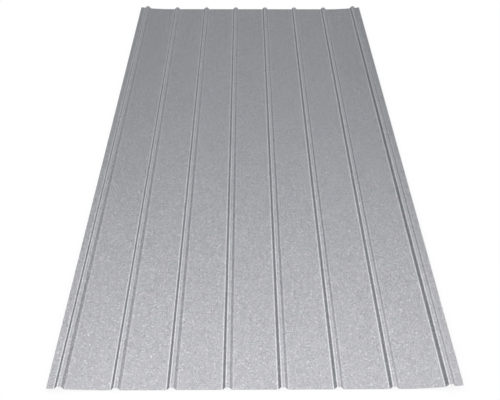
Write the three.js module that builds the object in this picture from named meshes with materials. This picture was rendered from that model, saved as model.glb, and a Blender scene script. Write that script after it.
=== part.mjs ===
// A ribbed roofing sheet: one strip of zinc-coated steel, roll-formed with narrow ribs between wide flat pans.
// Millimetres, +Z up. X runs across the sheet, Y along the ribs, and the pans lie on Z = 0.
import * as THREE from "three";

// The strip
const sheetLength = 2000;
const sheetThickness = 0.4;

// The ribs. Widths and heights are those of the strip's middle surface, with its corners drawn sharp.
const ribCount = 8;
const ribPitch = 122;
const ribHeight = 8;
const ribBaseWidth = 21;
const ribCrestWidth = 9;
const bendRadius = 3;

// The plain lips outside the first and the last rib
const lipWidth = 17.5;

// A free sheet is a little hollow across: its edges stand off the floor, from the second rib outwards.
const edgeRise = 8;
const flatRibs = 6;

const arcDivisions = 3; // an arc gets twice as many facets

const zincColour = 0xb9bbc0;

const half = sheetThickness / 2;
const ribSpan = (ribCount - 1) * ribPitch;
const sheetWidth = ribSpan + ribBaseWidth + 2 * lipWidth;
const flatWidth = (flatRibs - 1) * ribPitch + ribBaseWidth;

// How high the bowed strip stands above the floor at x, before it is ribbed.
function riseAt(x) {
  const beyond = Math.max(0, Math.abs(x) - flatWidth / 2);
  return edgeRise * (beyond / ((sheetWidth - flatWidth) / 2)) ** 2;
}

// The four corners of the rib whose middle is at x, from left to right.
function ribCorners(x) {
  return [
    [x - ribBaseWidth / 2, 0],
    [x - ribCrestWidth / 2, ribHeight],
    [x + ribCrestWidth / 2, ribHeight],
    [x + ribBaseWidth / 2, 0],
  ];
}

// The strip's middle line across the sheet: its two ends, and a corner for every bend.
function stripCorners() {
  const corners = [[-sheetWidth / 2, 0]];
  for (let rib = 0; rib < ribCount; rib++) {
    corners.push(...ribCorners(rib * ribPitch - ribSpan / 2));
  }
  corners.push([sheetWidth / 2, 0]);
  return corners.map(([x, z]) => new THREE.Vector2(x, half + z + riseAt(x)));
}

// The round bend at a corner: its centre, its first and last direction from there, and which way it turns.
function bendAt(corner, previous, next) {
  const arriving = corner.clone().sub(previous).normalize();
  const leaving = next.clone().sub(corner).normalize();
  const turn = Math.sign(arriving.cross(leaving));
  const setback = bendRadius * Math.tan(Math.acos(arriving.dot(leaving)) / 2);
  const inwards = new THREE.Vector2(-arriving.y, arriving.x).multiplyScalar(turn);
  const centre = corner.clone().addScaledVector(arriving, -setback).addScaledVector(inwards, bendRadius);
  return {
    centre,
    turn,
    from: Math.atan2(-turn * arriving.x, turn * arriving.y),
    to: Math.atan2(-turn * leaving.x, turn * leaving.y),
  };
}

// The point half a thickness off one end of the strip, square to the run that starts or ends there.
function endPoint(end, inner, side) {
  const along = inner.clone().sub(end).normalize();
  return new THREE.Vector2(end.x - side * half * along.y, end.y + side * half * along.x);
}

// The strip's cross-section: along its top face from left to right, and back along its underside.
function stripSection() {
  const corners = stripCorners();
  const bends = corners.slice(1, -1).map((corner, i) => bendAt(corner, corners[i], corners[i + 2]));
  const [first, second] = corners;
  const [beforeLast, last] = corners.slice(-2);
  const section = new THREE.Shape();
  section.moveTo(...endPoint(first, second, 1));
  for (const { centre, turn, from, to } of bends) {
    section.absarc(centre.x, centre.y, bendRadius - turn * half, from, to, turn < 0);
  }
  section.lineTo(...endPoint(last, beforeLast, -1));
  section.lineTo(...endPoint(last, beforeLast, 1));
  for (const { centre, turn, from, to } of bends.reverse()) {
    section.absarc(centre.x, centre.y, bendRadius + turn * half, to, from, turn > 0);
  }
  section.lineTo(...endPoint(first, second, -1));
  section.closePath();
  return section;
}

function ribbedSheet() {
  const geometry = new THREE.ExtrudeGeometry(stripSection(), {
    depth: sheetLength,
    bevelEnabled: false,
    curveSegments: arcDivisions,
  });
  const zinc = new THREE.MeshStandardMaterial({ color: zincColour, roughness: 0.45, metalness: 0.9 });
  const sheet = new THREE.Mesh(geometry, zinc);
  sheet.name = "ribbed_sheet";
  sheet.rotation.x = Math.PI / 2;
  sheet.position.y = sheetLength / 2;
  return sheet;
}

const part = new THREE.Group();
part.add(ribbedSheet());

export default part;
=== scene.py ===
"""A ribbed zinc-coated roofing sheet, lying on a pale studio floor.

Lengths are in metres. X runs across the sheet, Y along its ribs, and the floor is Z = 0.
"""

import math
from typing import NamedTuple

import bmesh
import bpy
from bpy.props import FloatProperty, FloatVectorProperty, IntProperty, PointerProperty
from bpy.types import Operator, Panel, PropertyGroup
from mathutils import Matrix, Vector


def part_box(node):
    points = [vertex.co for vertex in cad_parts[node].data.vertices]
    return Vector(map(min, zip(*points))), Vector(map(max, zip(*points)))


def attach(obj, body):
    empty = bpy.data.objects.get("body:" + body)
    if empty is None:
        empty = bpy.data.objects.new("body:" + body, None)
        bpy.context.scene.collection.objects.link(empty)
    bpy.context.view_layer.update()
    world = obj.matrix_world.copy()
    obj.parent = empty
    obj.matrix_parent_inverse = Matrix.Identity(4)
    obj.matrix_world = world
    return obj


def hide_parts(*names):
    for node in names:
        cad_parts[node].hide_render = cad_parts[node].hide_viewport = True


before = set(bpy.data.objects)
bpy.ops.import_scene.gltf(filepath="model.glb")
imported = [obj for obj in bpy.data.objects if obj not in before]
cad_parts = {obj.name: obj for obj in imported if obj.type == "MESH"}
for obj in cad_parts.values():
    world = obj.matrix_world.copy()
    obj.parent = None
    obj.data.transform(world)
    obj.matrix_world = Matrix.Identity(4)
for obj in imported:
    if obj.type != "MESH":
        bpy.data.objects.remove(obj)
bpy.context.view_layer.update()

bl_info = {
    "name": "Ribbed roofing sheet",
    "version": (1, 0, 0),
    "blender": (4, 5, 0),
    "location": "3D View > Sidebar > Roofing sheet",
    "description": "Roll-forms a zinc-coated roofing sheet and sets the studio round it",
    "category": "Object",
}

SHEET_NODE = "ribbed_sheet"
SHEET_LOW, SHEET_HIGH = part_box(SHEET_NODE)


# Sizes and colours


class SheetSizes(PropertyGroup):
    """The roll-formed strip. Rib sizes are those of its middle surface, with the corners drawn sharp."""

    rib_count: IntProperty(name="Ribs", description="Number of ribs", default=8, min=2)
    rib_pitch: FloatProperty(
        name="Rib pitch",
        description="From the middle of one rib to the middle of the next",
        default=0.122,
        unit="LENGTH",
    )
    rib_height: FloatProperty(
        name="Rib height", description="From a pan up to a crest", default=0.008, unit="LENGTH"
    )
    rib_base: FloatProperty(
        name="Rib base", description="Width of a rib at its foot", default=0.021, unit="LENGTH"
    )
    rib_crest: FloatProperty(
        name="Rib crest", description="Width of a rib at its top", default=0.009, unit="LENGTH"
    )
    bend_radius: FloatProperty(
        name="Bend radius", description="Radius of every bend", default=0.0015, unit="LENGTH"
    )
    gauge: FloatProperty(
        name="Gauge", description="Thickness of the strip", default=0.0004, precision=4, unit="LENGTH"
    )


class ZincFinish(PropertyGroup):
    """The zinc coating."""

    cool: FloatVectorProperty(
        name="Cool zinc",
        description="Colour of the bluer zinc",
        subtype="COLOR",
        default=(0.625, 0.653, 0.691),
    )
    warm: FloatVectorProperty(
        name="Warm zinc",
        description="Colour of the redder zinc",
        subtype="COLOR",
        default=(0.678, 0.643, 0.678),
    )
    spangle: FloatProperty(
        name="Spangle", description="Width of a zinc crystal", default=0.0016, precision=4, unit="LENGTH"
    )
    flake: FloatProperty(
        name="Flake",
        description="Width of the larger crystals, a few of which glint",
        default=0.0022,
        precision=4,
        unit="LENGTH",
    )
    patch: FloatProperty(
        name="Patch", description="Width of a cooler or a warmer patch", default=0.03, unit="LENGTH"
    )
    sparkle: FloatProperty(
        name="Sparkle", description="How much the tone differs between crystals", default=0.15, min=0
    )
    # Painted glints: a few flakes are painted much brighter than the rest
    glint: FloatProperty(
        name="Glint", description="How much brighter the brightest flakes are", default=0.8, min=0
    )
    clouding: FloatProperty(
        name="Clouding", description="How much the tone wanders over the sheet", default=0.04, min=0
    )
    # Painted shade: the strip's edges are painted darker than its middle
    painted_edge_shade: FloatProperty(
        name="Painted_edge_shade",
        description="How much darker the strip's edges are than its middle",
        default=0.09,
        min=0,
        max=1,
    )
    tilt: FloatProperty(
        name="Crystal tilt", description="How far the crystals' faces lean", default=0.22, min=0
    )
    # Painted highlight: the painted lines at each rib's right-hand bends rise this share as far above
    # the pan's tone as those at its left-hand bends
    right_painted_highlight: FloatProperty(
        name="Right-hand painted_highlight",
        description="Share of the painted_highlight on each rib's right-hand bends",
        default=0.25,
        min=0,
        max=1,
    )
    roughness: FloatProperty(
        name="Roughness", description="Mean roughness of the zinc", default=0.25, min=0, max=1
    )


class StudioSettings(PropertyGroup):
    """The floor and the light."""

    floor_colour: FloatVectorProperty(
        name="Floor", description="Colour of the floor", subtype="COLOR", default=(0.9, 0.9, 0.9)
    )
    floor_glow: FloatProperty(
        name="Floor glow", description="How brightly the floor glows where it is seen", default=1.03
    )
    floor_shadow: FloatProperty(
        name="Floor shadow",
        description="How much of the sheet's shadow the seen floor keeps",
        default=0.2,
    )
    dome_strength: FloatProperty(
        name="Dome", description="Strength of the light from all round", default=1.0
    )


# Shader wiring


class Wire:
    """One socket of a shader tree. Arithmetic on it adds Math nodes to the tree."""

    def __init__(self, tree, socket):
        self.tree = tree
        self.socket = socket

    def node(self, kind, settings=(), inputs=(), output=0):
        """Adds a node, sets it up, feeds its inputs with values or wires, and gives one output."""
        made = self.tree.nodes.new(kind)
        for name, value in dict(settings).items():
            if name == "stops":
                fill_ramp(made.color_ramp, value)
            else:
                setattr(made, name, value)
        for name, value in dict(inputs).items():
            if isinstance(value, Wire):
                self.tree.links.new(value.socket, made.inputs[name])
            else:
                made.inputs[name].default_value = value
        if output is None or not made.outputs:
            return made
        return Wire(self.tree, made.outputs[output])

    def math(self, operation, *values):
        return self.node("ShaderNodeMath", {"operation": operation}, enumerate(values))

    def __add__(self, other):
        return self.math("ADD", self, other)

    __radd__ = __add__

    def __sub__(self, other):
        return self.math("SUBTRACT", self, other)

    def __rsub__(self, other):
        return self.math("SUBTRACT", other, self)

    def __mul__(self, other):
        return self.math("MULTIPLY", self, other)


def fill_ramp(ramp, stops):
    """Gives a colour ramp its stops, each a position and a grey or a colour."""
    for _ in stops[2:]:
        ramp.elements.new(0.5)
    for element, (position, value) in zip(ramp.elements, stops):
        element.position = position
        element.color = (*value, 1) if isinstance(value, tuple) else (value, value, value, 1)


def new_material(name):
    """An empty material, and a wire in its tree to start from."""
    material = bpy.data.materials.new(name)
    material.use_nodes = True
    material.node_tree.nodes.clear()
    return material, Wire(material.node_tree, None)


# The sheet


class StripPath:
    """Leads a vertex across the sheet, so that it draws the strip's lower face.

    It draws straight runs by extruding the vertex, and bends by spinning it.
    """

    def __init__(self, bm, start, gauge):
        self.bm = bm
        self.tip = bm.verts.new(start)
        self.half_gauge = gauge / 2
        self.heading = 0.0

    def run(self, length, steps):
        """Goes straight on."""
        ahead = Vector((math.cos(self.heading), 0, math.sin(self.heading))) * (length / steps)
        for _ in range(steps):
            made = bmesh.ops.extrude_vert_indiv(self.bm, verts=[self.tip])
            self.tip = made["verts"][0]
            self.tip.co += ahead

    def bend(self, angle, radius, steps):
        """Turns by an angle, upwards if it is positive. The radius is that of the strip's middle."""
        side = math.copysign(radius, angle) + self.half_gauge
        centre = self.tip.co + Vector((-math.sin(self.heading), 0, math.cos(self.heading))) * side
        made = bmesh.ops.spin(
            self.bm, geom=[self.tip], cent=centre, axis=(0, -1, 0), angle=angle, steps=steps
        )
        self.tip = next(part for part in made["geom_last"] if isinstance(part, bmesh.types.BMVert))
        self.heading += angle


BEND_STEPS = 5
FLANK_STEPS = 2
CREST_STEPS = 2
PAN_STEPS = 8
LIP_STEPS = 2
LENGTH_STEPS = 100
SHARP_ANGLE = math.radians(40)

# Where each half of the sheet leaves the floor, how high its edge stands, and the power of the curve
# between. First at the near end, then at the far end.
LEFT_LIFT = ((0.29, 0.0075, 1.8), (0.33, 0.0086, 2.2))
RIGHT_LIFT = ((0.29, 0.0120, 2.3), (0.32, 0.0090, 2.1))


def draw_section(bm, sizes, width, start_y):
    """Draws the strip's lower face across one end of the sheet."""
    flank_run = (sizes.rib_base - sizes.rib_crest) / 2
    slope = math.atan2(sizes.rib_height, flank_run)
    setback = sizes.bend_radius * math.tan(slope / 2)
    flank = math.hypot(flank_run, sizes.rib_height) - 2 * setback
    crest = sizes.rib_crest - 2 * setback
    pan = sizes.rib_pitch - sizes.rib_base - 2 * setback
    rib_span = (sizes.rib_count - 1) * sizes.rib_pitch
    lip = (width - rib_span - sizes.rib_base) / 2 - setback
    path = StripPath(bm, (-width / 2, start_y, 0), sizes.gauge)
    path.run(lip, LIP_STEPS)
    for rib in range(sizes.rib_count):
        if rib:
            path.run(pan, PAN_STEPS)
        path.bend(slope, sizes.bend_radius, BEND_STEPS)
        path.run(flank, FLANK_STEPS)
        path.bend(-slope, sizes.bend_radius, BEND_STEPS)
        path.run(crest, CREST_STEPS)
        path.bend(-slope, sizes.bend_radius, BEND_STEPS)
        path.run(flank, FLANK_STEPS)
        path.bend(slope, sizes.bend_radius, BEND_STEPS)
    path.run(lip, LIP_STEPS)


def relax(bm, width, length):
    """Lets the free sheet lie as thin steel does: its edges stand off the floor, one corner most."""
    for vert in bm.verts:
        along = (vert.co.y - SHEET_LOW.y) / length
        near, far = RIGHT_LIFT if vert.co.x > 0 else LEFT_LIFT
        start, height, power = (a + (b - a) * along for a, b in zip(near, far))
        beyond = max(0.0, abs(vert.co.x) - start) / (width / 2 - start)
        vert.co.z += height * beyond**power


def form_sheet(sizes):
    """Roll-forms the sheet and gives its mesh."""
    width = SHEET_HIGH.x - SHEET_LOW.x
    length = SHEET_HIGH.y - SHEET_LOW.y
    bm = bmesh.new()
    draw_section(bm, sizes, width, SHEET_LOW.y)
    bmesh.ops.spin(
        bm,
        geom=bm.verts[:] + bm.edges[:],
        axis=(0, 1, 0),
        angle=0,
        steps=LENGTH_STEPS,
        dvec=(0, length / LENGTH_STEPS, 0),
    )
    relax(bm, width, length)
    bmesh.ops.remove_doubles(bm, verts=bm.verts, dist=sizes.gauge / 10)
    bmesh.ops.recalc_face_normals(bm, faces=bm.faces)
    bm.faces.ensure_lookup_table()
    if bm.faces[0].normal.z > 0:
        bmesh.ops.reverse_faces(bm, faces=bm.faces)
    bmesh.ops.solidify(bm, geom=bm.faces[:], thickness=sizes.gauge)
    mesh = bpy.data.meshes.new("roofing_sheet")
    bm.to_mesh(mesh)
    bm.free()
    mesh.shade_smooth()
    mesh.set_sharp_from_angle(angle=SHARP_ANGLE)
    return mesh


# Painted highlight: a bright line is painted beside each bend, on its flat side: how far off it lies,
# half the width of its bright core, and half its whole width. The tones of pans and flanks are shares of
# its tone, and the flanks are a little darker, as painted shade.
PAINTED_HIGHLIGHT_SHIFT = 0.001
PAINTED_HIGHLIGHT_CORE = 0.0009
PAINTED_HIGHLIGHT_HALF = 0.0025
FLAT_TONE = 0.66
SHADED_FLANK_TONE = 0.64

SPANGLE_SHARE = 0.4
SPANGLE_RARITY = 3
GLINT_RARITY = 25
ROUGHNESS_SPREAD = 0.1
PATCHES_IN_A_CLOUD = 5


def painted_highlight_stops(sizes, right_painted_highlight):
    """The tones across a rib as a colour ramp's stops, and how far they reach from the rib's middle."""
    # Painted highlights beside the bends, and painted shade on the flanks
    crest = sizes.rib_crest / 2 - PAINTED_HIGHLIGHT_SHIFT
    foot = sizes.rib_base / 2 + PAINTED_HIGHLIGHT_SHIFT
    reach = foot + 2 * PAINTED_HIGHLIGHT_HALF
    right = FLAT_TONE + (1 - FLAT_TONE) * right_painted_highlight
    stops = [(0.0, FLAT_TONE)]
    for middle, shine, before, after in (
        (-foot, 1.0, FLAT_TONE, SHADED_FLANK_TONE),
        (-crest, 1.0, SHADED_FLANK_TONE, FLAT_TONE),
        (crest, right, FLAT_TONE, SHADED_FLANK_TONE),
        (foot + PAINTED_HIGHLIGHT_SHIFT, right, SHADED_FLANK_TONE, FLAT_TONE),
    ):
        line = (
            (-PAINTED_HIGHLIGHT_HALF, before),
            (-PAINTED_HIGHLIGHT_CORE, shine),
            (PAINTED_HIGHLIGHT_CORE, shine),
            (PAINTED_HIGHLIGHT_HALF, after),
        )
        stops += [((middle + off) / (2 * reach) + 0.5, tone) for off, tone in line]
    return stops, reach


def zinc_material(finish, sizes):
    """Hot-dip zinc in small crystals, each with its own tone, polish and tilt, and painted highlights at
    the bends.
    """
    material, start = new_material("zinc_coating")
    place = start.node("ShaderNodeTexCoord", output="Object")

    def crystals(width):
        """One random colour for each crystal."""
        settings = {"feature": "F1"}
        inputs = {"Vector": place, "Scale": 1 / width}
        return start.node("ShaderNodeTexVoronoi", settings, inputs, "Color")

    def draw_lots(width):
        """One random number from 0 to 1 for each crystal."""
        return start.node("ShaderNodeSeparateColor", (), {"Color": crystals(width)}, "Red")

    def few(lots, rarity):
        """High in a few crystals only, and 0 on the average."""
        return start.math("POWER", lots, rarity) - 1 / (rarity + 1)

    def cloud(width):
        """Soft patches from 0 to 1."""
        inputs = {"Vector": place, "Scale": 1 / width, "Detail": 1.0}
        return start.node("ShaderNodeTexNoise", (), inputs, "Fac")

    # Painted highlights beside the bends and painted shade on the flanks, by the place across each rib
    across = start.node("ShaderNodeSeparateXYZ", (), {"Vector": place}, "X")
    off_rib = start.math("FLOORED_MODULO", across, sizes.rib_pitch) - sizes.rib_pitch / 2
    stops, reach = painted_highlight_stops(sizes, finish.right_painted_highlight)
    bend_place = off_rib * (0.5 / reach) + 0.5
    bends = start.node("ShaderNodeValToRGB", {"stops": stops}, {"Fac": bend_place}, "Color")

    patch = cloud(finish.patch)
    grit = draw_lots(finish.spangle / 2)
    sparkle = few(draw_lots(finish.spangle), SPANGLE_RARITY) * SPANGLE_SHARE
    sparkle = sparkle + few(grit, SPANGLE_RARITY) * (1 - SPANGLE_SHARE)
    # Painted glints: a few flakes painted brighter in the colour
    glint = few(draw_lots(finish.flake), GLINT_RARITY)
    # Painted shade: the tone falls towards the strip's left and right edges
    to_edge = across * (2 / (SHEET_HIGH.x - SHEET_LOW.x))
    to_edge = to_edge * to_edge
    tone = 1 - to_edge * to_edge * finish.painted_edge_shade
    tone = tone + (cloud(PATCHES_IN_A_CLOUD * finish.patch) - 0.5) * finish.clouding
    tone = tone + sparkle * (patch + 0.5) * finish.sparkle + glint * finish.glint
    tone = tone * bends * (1 / FLAT_TONE)

    tint = start.node(
        "ShaderNodeMix",
        {"data_type": "RGBA", "blend_type": "MIX"},
        {"Factor": patch, "A": (*finish.cool, 1), "B": (*finish.warm, 1)},
        "Result",
    )
    colour = start.node(
        "ShaderNodeMix",
        {"data_type": "RGBA", "blend_type": "MULTIPLY"},
        {"Factor": 1.0, "A": tint, "B": tone},
        "Result",
    )
    lean = start.node(
        "ShaderNodeVectorMath",
        {"operation": "SUBTRACT"},
        {0: crystals(finish.spangle), 1: (0.5, 0.5, 0.5)},
    )
    lean = start.node("ShaderNodeVectorMath", {"operation": "SCALE"}, {0: lean, "Scale": finish.tilt})
    level = start.node("ShaderNodeNewGeometry", output="Normal")
    normal = start.node("ShaderNodeVectorMath", {"operation": "ADD"}, {0: level, 1: lean})
    shader = start.node(
        "ShaderNodeBsdfPrincipled",
        (),
        {
            "Base Color": colour,
            "Metallic": 1.0,
            "Roughness": finish.roughness + (grit - 0.5) * ROUGHNESS_SPREAD,
            "Normal": start.node("ShaderNodeVectorMath", {"operation": "NORMALIZE"}, {0: normal}),
        },
    )
    start.node("ShaderNodeOutputMaterial", (), {"Surface": shader})
    return material


class SHEET_OT_form(Operator):
    """Roll-form the sheet and coat it with zinc"""

    bl_idname = "sheet.form"
    bl_label = "Form the sheet"

    def execute(self, context):
        sizes = context.scene.sheet_sizes
        mesh = form_sheet(sizes)
        sheet = bpy.data.objects.new("roofing_sheet", mesh)
        context.scene.collection.objects.link(sheet)
        mesh.materials.append(zinc_material(context.scene.zinc_finish, sizes))
        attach(sheet, "root")
        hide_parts(SHEET_NODE)
        return {"FINISHED"}


# The stage

CAMERA_PLACE = (-0.0197, -2.1227, 1.3798)
CAMERA_DIP = math.radians(37.38)
CAMERA_TURN = math.radians(-0.83)
CAMERA_ROLL = math.radians(0.40)
CAMERA_FOCUS = 57.006
CAMERA_SENSOR = 36
CAMERA_SHIFT = -0.0102
WHITE = (1, 1, 1, 1)
FLOOR_HALF = 150
FLOOR_DROP = 0.0002
APRON_REACH = 0.6

# Zinc that is seen in zinc turns red, so what the ribs' flanks show leans a little to green.
FLANK_TINT = (0.95, 1.0, 0.985)


class Card(NamedTuple):
    """A matt card that only the sheet's reflections show, with its shades from the foot to the top."""

    width: float
    height: float
    middle: tuple
    turn: float
    shades: tuple
    lean: float = 90.0
    tint: tuple = FLANK_TINT


CARDS = {
    "far_card": Card(
        width=8.9,
        height=9.0,
        middle=(1.85, 6.0, 4.5),
        turn=0.0,
        shades=(
            (0.0, (0.39, 0.4, 0.405)),
            (0.15, (0.328, 0.34, 0.346)),
            (0.27, (0.375, 0.39, 0.397)),
            (0.35, (0.42, 0.437, 0.445)),
            (0.5, (0.478, 0.498, 0.505)),
            (0.65, (0.637, 0.655, 0.658)),
            (0.75, (0.83, 0.83, 0.83)),
            (0.87, (0.955, 0.95, 0.95)),
            (1.0, (0.975, 0.97, 0.97)),
        ),
        tint=(1.0, 1.0, 1.0),
    ),
    "far_left_card": Card(
        width=5.8,
        height=4.0,
        middle=(-2.0, 5.85, 2.0),
        turn=70.0,
        shades=((0.0, 0.033), (0.12, 0.22), (0.2, 0.34), (0.28, 0.49), (0.45, 0.34), (1.0, 0.26)),
    ),
    "near_left_card": Card(
        width=8.2,
        height=4.0,
        middle=(-4.39, -0.73, 2.0),
        turn=70.0,
        shades=(
            (0.0, 0.1),
            (0.12, 0.4),
            (0.2, 0.58),
            (0.28, 0.65),
            (0.38, 0.46),
            (0.48, 0.21),
            (1.0, 0.17),
        ),
    ),
    "far_right_card": Card(
        width=3.0,
        height=2.0,
        middle=(2.5, 4.5, 1.0),
        turn=90.0,
        shades=((0.0, 0.64), (0.35, 0.58), (0.7, 0.44), (1.0, 0.3)),
    ),
    "near_right_card": Card(
        width=5.0, height=0.35, middle=(3.2, 0.5, 0.175), turn=90.0, shades=((0.0, 0.12), (1.0, 0.12))
    ),
    "near_card": Card(
        width=14.0,
        height=8.0,
        middle=(5.0, -6.5, 4.0),
        turn=0.0,
        shades=((0.0, 0.27), (0.35, 0.42), (1.0, 0.6)),
        tint=(0.98, 1.0, 1.0),
    ),
    # Beyond the far end the flanks would show the bare floor, where elsewhere they show the pans
    "apron": Card(
        width=1.6,
        height=APRON_REACH,
        middle=(0, SHEET_HIGH.y + APRON_REACH / 2, -FLOOR_DROP / 2),
        turn=0.0,
        shades=((0.0, 0.27), (1.0, 0.27)),
        lean=0.0,
    ),
}


def seen_rays(start):
    """1 for the rays that show the background: to the camera, by way of metal, or through glass."""
    path = start.node("ShaderNodeLightPath", output=None)
    names = ("Is Camera Ray", "Is Glossy Ray", "Is Transmission Ray")
    camera, glossy, transmission = (Wire(start.tree, path.outputs[name]) for name in names)
    return camera + glossy + transmission


def card_material(name, card):
    """Matt, and graded from the card's foot to its top."""
    material, start = new_material(name)
    place = start.node("ShaderNodeTexCoord", output="Object")
    up = start.node("ShaderNodeSeparateXYZ", (), {"Vector": place}, "Z")
    rise = up * (1 / card.height)
    shade = start.node("ShaderNodeValToRGB", {"stops": card.shades}, {"Fac": rise}, "Color")
    colour = start.node(
        "ShaderNodeMix",
        {"data_type": "RGBA", "blend_type": "MULTIPLY"},
        {"Factor": 1.0, "A": shade, "B": (*card.tint, 1)},
        "Result",
    )
    shader = start.node("ShaderNodeBsdfDiffuse", (), {"Color": colour})
    start.node("ShaderNodeOutputMaterial", (), {"Surface": shader})
    return material


def floor_material(studio):
    """Matt and pale. Where it is seen it mostly glows, so it is white but keeps a little shadow."""
    material, start = new_material("studio_floor")
    matt = start.node("ShaderNodeBsdfDiffuse", (), {"Color": (*studio.floor_colour, 1)})
    glow = start.node("ShaderNodeEmission", (), {"Color": WHITE, "Strength": studio.floor_glow})
    glowing = seen_rays(start) * (1 - studio.floor_shadow)
    shader = start.node("ShaderNodeMixShader", (), {"Fac": glowing, 1: matt, 2: glow})
    start.node("ShaderNodeOutputMaterial", (), {"Surface": shader})
    return material


def white_world(studio):
    world = bpy.data.worlds.new("studio_dome")
    world.use_nodes = True
    world.node_tree.nodes.clear()
    start = Wire(world.node_tree, None)
    dome = start.node("ShaderNodeBackground", (), {"Color": WHITE, "Strength": studio.dome_strength})
    backdrop = start.node("ShaderNodeBackground", (), {"Color": WHITE, "Strength": 1.0})
    shader = start.node("ShaderNodeMixShader", (), {"Fac": seen_rays(start), 1: dome, 2: backdrop})
    start.node("ShaderNodeOutputWorld", (), {"Surface": shader})
    return world


def add_stage_plane(name, width, height, place, material):
    """Adds a flat stage piece. The place is a matrix that takes it from lying at the origin."""
    bm = bmesh.new()
    bmesh.ops.create_grid(bm, x_segments=1, y_segments=1, size=0.5)
    bmesh.ops.scale(bm, vec=(width, height, 1), verts=bm.verts)
    bmesh.ops.transform(bm, matrix=place, verts=bm.verts)
    mesh = bpy.data.meshes.new(name)
    bm.to_mesh(mesh)
    bm.free()
    mesh.materials.append(material)
    obj = bpy.data.objects.new(name, mesh)
    bpy.context.scene.collection.objects.link(obj)
    return obj


def add_camera(scene):
    camera = bpy.data.cameras.new("camera")
    camera.lens = CAMERA_FOCUS
    camera.sensor_width = CAMERA_SENSOR
    camera.shift_x = CAMERA_SHIFT
    holder = bpy.data.objects.new("camera", camera)
    holder.location = CAMERA_PLACE
    turn = Matrix.Rotation(CAMERA_TURN, 3, "Z") @ Matrix.Rotation(math.pi / 2 - CAMERA_DIP, 3, "X")
    holder.rotation_euler = (turn @ Matrix.Rotation(CAMERA_ROLL, 3, "Z")).to_euler()
    scene.collection.objects.link(holder)
    scene.camera = holder


class SHEET_OT_stage(Operator):
    """Lay the floor and set the light and the camera"""

    bl_idname = "sheet.stage"
    bl_label = "Set the stage"

    def execute(self, context):
        scene = context.scene
        studio = scene.studio_settings
        drop = Matrix.Translation((0, 0, -FLOOR_DROP))
        add_stage_plane("studio_floor", 2 * FLOOR_HALF, 2 * FLOOR_HALF, drop, floor_material(studio))
        for name, card in CARDS.items():
            turn = Matrix.Rotation(math.radians(card.turn), 4, "Z")
            lean = Matrix.Rotation(math.radians(card.lean), 4, "X")
            place = Matrix.Translation(card.middle) @ turn @ lean
            plane = add_stage_plane(name, card.width, card.height, place, card_material(name, card))
            plane.visible_camera = False
            plane.visible_diffuse = False
            plane.visible_shadow = False
        scene.world = white_world(studio)
        add_camera(scene)
        scene.view_settings.view_transform = "Standard"
        return {"FINISHED"}


class SHEET_PT_panel(Panel):
    """Buttons for the sheet and its stage"""

    bl_idname = "SHEET_PT_panel"
    bl_label = "Roofing sheet"
    bl_space_type = "VIEW_3D"
    bl_region_type = "UI"
    bl_category = "Roofing sheet"

    def draw(self, context):
        for operator in (SHEET_OT_form, SHEET_OT_stage):
            self.layout.operator(operator.bl_idname)


CLASSES = (SheetSizes, ZincFinish, StudioSettings, SHEET_OT_form, SHEET_OT_stage, SHEET_PT_panel)


def register():
    for cls in CLASSES:
        bpy.utils.register_class(cls)
    bpy.types.Scene.sheet_sizes = PointerProperty(type=SheetSizes)
    bpy.types.Scene.zinc_finish = PointerProperty(type=ZincFinish)
    bpy.types.Scene.studio_settings = PointerProperty(type=StudioSettings)


def unregister():
    del bpy.types.Scene.studio_settings
    del bpy.types.Scene.zinc_finish
    del bpy.types.Scene.sheet_sizes
    for cls in reversed(CLASSES):
        bpy.utils.unregister_class(cls)


def main():
    register()
    bpy.ops.sheet.form()
    bpy.ops.sheet.stage()


if __name__ == "__main__":
    main()
